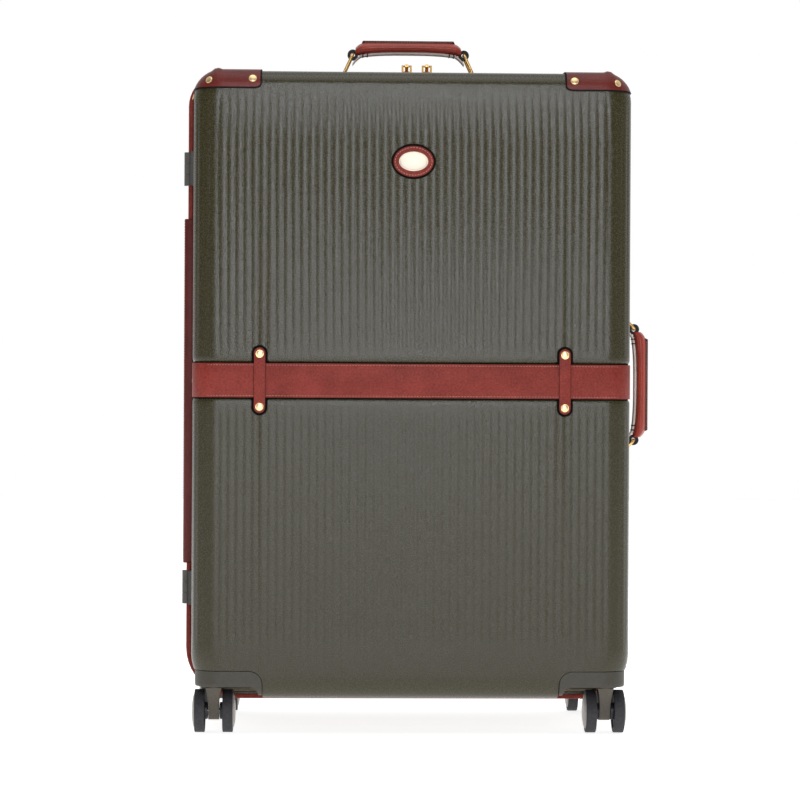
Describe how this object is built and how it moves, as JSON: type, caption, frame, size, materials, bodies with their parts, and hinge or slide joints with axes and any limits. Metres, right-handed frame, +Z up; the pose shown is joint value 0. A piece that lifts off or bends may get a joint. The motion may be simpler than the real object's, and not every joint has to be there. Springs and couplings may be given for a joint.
{
  "type": "suitcase",
  "caption": "Upright hard-shell suitcase on swivelling twin-wheel casters, with leather belt, corner caps and carrying handles, a zip round the seam and a telescopic handle.",
  "frame": {"origin": "middle of the whole part's base, on the floor", "axes": "+Z up, -Y towards the front face with the badge, +X towards the side handle"},
  "size_m": [0.566, 0.3076, 0.8264],
  "materials": {
    "shell": "fine grain, satin",
    "housing_plastic": "satin",
    "hinge_plastic": "satin",
    "leather": "smooth chestnut",
    "black_leather": "smooth black",
    "pale_leather": "suede side",
    "brass": "polished",
    "badge_metal": "satin, pale gold",
    "zip_tape": "woven",
    "lining_cloth": "woven",
    "strap_cloth": "woven",
    "tyre": "matte",
    "steel": "plain",
    "tube_metal": "anodised",
    "dark_plastic": "satin"
  },
  "bodies": {
    "rear_half": {"rear_shell": "shell", "rear_lining": "lining_cloth", "rear_belt": "leather", "rear_corner_caps": "leather", "rear_rivets": "brass", "rear_housings": "housing_plastic", "rear_zip_tape": "zip_tape", "rear_zip_teeth": "brass", "rear_hinge_leaves": "hinge_plastic", "hinge_pins": "steel", "hinge_strip": "leather", "handle_brackets": "brass", "packing_straps": "strap_cloth", "trolley_bezel": "dark_plastic", "trolley_sleeves": "tube_metal"},
    "lid": {"front_shell": "shell", "front_lining": "lining_cloth", "front_belt": "leather", "front_corner_caps": "leather", "front_rivets": "brass", "front_housings": "housing_plastic", "front_zip_tape": "zip_tape", "front_zip_teeth": "brass", "front_hinge_leaves": "hinge_plastic", "belt_keepers": "leather", "badge_pad": "leather", "badge_plate": "badge_metal"},
    "top_handle": {"top_grip": "leather", "top_grip_lining": "pale_leather", "top_loops": "black_leather", "top_rings": "brass"},
    "side_handle": {"side_grip": "leather", "side_grip_lining": "pale_leather", "side_loops": "black_leather", "side_rings": "brass"},
    "trolley_mid": {"trolley_mid_tubes": "tube_metal"},
    "trolley_inner": {"trolley_inner_tubes": "tube_metal", "trolley_grip": "dark_plastic"},
    "trolley_release": {"trolley_button": "housing_plastic"},
    "zip_slider_left": {"zip_slider_left": "brass"},
    "zip_pull_left": {"zip_pull_left": "brass"},
    "zip_slider_right": {"zip_slider_right": "brass"},
    "zip_pull_right": {"zip_pull_right": "brass"},
    "caster_front_left": {"fork_front_left": "housing_plastic", "axle_front_left": "steel"},
    "wheel_front_left_a": {"wheel_front_left_a": "tyre"},
    "wheel_front_left_b": {"wheel_front_left_b": "tyre"},
    "caster_front_right": {"fork_front_right": "housing_plastic", "axle_front_right": "steel"},
    "wheel_front_right_a": {"wheel_front_right_a": "tyre"},
    "wheel_front_right_b": {"wheel_front_right_b": "tyre"},
    "caster_rear_left": {"fork_rear_left": "housing_plastic", "axle_rear_left": "steel"},
    "wheel_rear_left_a": {"wheel_rear_left_a": "tyre"},
    "wheel_rear_left_b": {"wheel_rear_left_b": "tyre"},
    "caster_rear_right": {"fork_rear_right": "housing_plastic", "axle_rear_right": "steel"},
    "wheel_rear_right_a": {"wheel_rear_right_a": "tyre"},
    "wheel_rear_right_b": {"wheel_rear_right_b": "tyre"}
  },
  "joints": [
    {"name": "lid_swing", "type": "hinge", "parent": "rear_half", "child": "lid", "pos_m": [-0.27804, 0.00042, 0.4], "axis": [0, 0, -1], "range_deg": [0, 180]},
    {"name": "top_handle_swing", "type": "hinge", "parent": "rear_half", "child": "top_handle", "pos_m": [-0.01284, 0.04542, 0.78], "axis": [1, 0, 0], "range_deg": [-35, 35]},
    {"name": "side_handle_swing", "type": "hinge", "parent": "rear_half", "child": "side_handle", "pos_m": [0.25316, 0.04542, 0.408], "axis": [0, 0, 1], "range_deg": [-35, 35]},
    {"name": "trolley_mid_slide", "type": "slide", "parent": "rear_half", "child": "trolley_mid", "axis": [0, 0, 1], "range_m": [0, 0.18]},
    {"name": "trolley_inner_slide", "type": "slide", "parent": "trolley_mid", "child": "trolley_inner", "axis": [0, 0, 1], "range_m": [0, 0.18]},
    {"name": "trolley_button_press", "type": "slide", "parent": "trolley_inner", "child": "trolley_release", "axis": [0, 0, -1], "range_m": [0, 0.003], "stiffness_N_per_m": 300},
    {"name": "zip_slide_left", "type": "slide", "parent": "rear_half", "child": "zip_slider_left", "axis": [-1, 0, 0], "range_m": [0, 0.155]},
    {"name": "zip_pull_swing_left", "type": "hinge", "parent": "zip_slider_left", "child": "zip_pull_left", "pos_m": [-0.01614, 0.00042, 0.79005], "axis": [1, 0, 0], "range_deg": [0, 150]},
    {"name": "zip_slide_right", "type": "slide", "parent": "rear_half", "child": "zip_slider_right", "axis": [1, 0, 0], "range_m": [0, 0.145]},
    {"name": "zip_pull_swing_right", "type": "hinge", "parent": "zip_slider_right", "child": "zip_pull_right", "pos_m": [0.00806, 0.00042, 0.79005], "axis": [1, 0, 0], "range_deg": [0, 150]},
    {"name": "caster_swivel_front_left", "type": "hinge", "parent": "lid", "child": "caster_front_left", "pos_m": [-0.24084, -0.11158, 0.06], "axis": [0, 0, 1], "continuous": true},
    {"name": "wheel_spin_front_left_a", "type": "hinge", "parent": "caster_front_left", "child": "wheel_front_left_a", "pos_m": [-0.24084, -0.10358, 0.025], "axis": [1, 0, 0], "continuous": true},
    {"name": "wheel_spin_front_left_b", "type": "hinge", "parent": "caster_front_left", "child": "wheel_front_left_b", "pos_m": [-0.24084, -0.10358, 0.025], "axis": [1, 0, 0], "continuous": true},
    {"name": "caster_swivel_front_right", "type": "hinge", "parent": "lid", "child": "caster_front_right", "pos_m": [0.21516, -0.11158, 0.06], "axis": [0, 0, 1], "continuous": true},
    {"name": "wheel_spin_front_right_a", "type": "hinge", "parent": "caster_front_right", "child": "wheel_front_right_a", "pos_m": [0.21516, -0.10358, 0.025], "axis": [1, 0, 0], "continuous": true},
    {"name": "wheel_spin_front_right_b", "type": "hinge", "parent": "caster_front_right", "child": "wheel_front_right_b", "pos_m": [0.21516, -0.10358, 0.025], "axis": [1, 0, 0], "continuous": true},
    {"name": "caster_swivel_rear_left", "type": "hinge", "parent": "rear_half", "child": "caster_rear_left", "pos_m": [-0.24084, 0.11242, 0.06], "axis": [0, 0, 1], "continuous": true},
    {"name": "wheel_spin_rear_left_a", "type": "hinge", "parent": "caster_rear_left", "child": "wheel_rear_left_a", "pos_m": [-0.24084, 0.12042, 0.025], "axis": [1, 0, 0], "continuous": true},
    {"name": "wheel_spin_rear_left_b", "type": "hinge", "parent": "caster_rear_left", "child": "wheel_rear_left_b", "pos_m": [-0.24084, 0.12042, 0.025], "axis": [1, 0, 0], "continuous": true},
    {"name": "caster_swivel_rear_right", "type": "hinge", "parent": "rear_half", "child": "caster_rear_right", "pos_m": [0.21516, 0.11242, 0.06], "axis": [0, 0, 1], "continuous": true},
    {"name": "wheel_spin_rear_right_a", "type": "hinge", "parent": "caster_rear_right", "child": "wheel_rear_right_a", "pos_m": [0.21516, 0.12042, 0.025], "axis": [1, 0, 0], "continuous": true},
    {"name": "wheel_spin_rear_right_b", "type": "hinge", "parent": "caster_rear_right", "child": "wheel_rear_right_b", "pos_m": [0.21516, 0.12042, 0.025], "axis": [1, 0, 0], "continuous": true}
  ],
  "couplings": [
    {"joint": "trolley_mid_slide", "follows": "trolley_inner_slide", "ratio": 1}
  ]
}
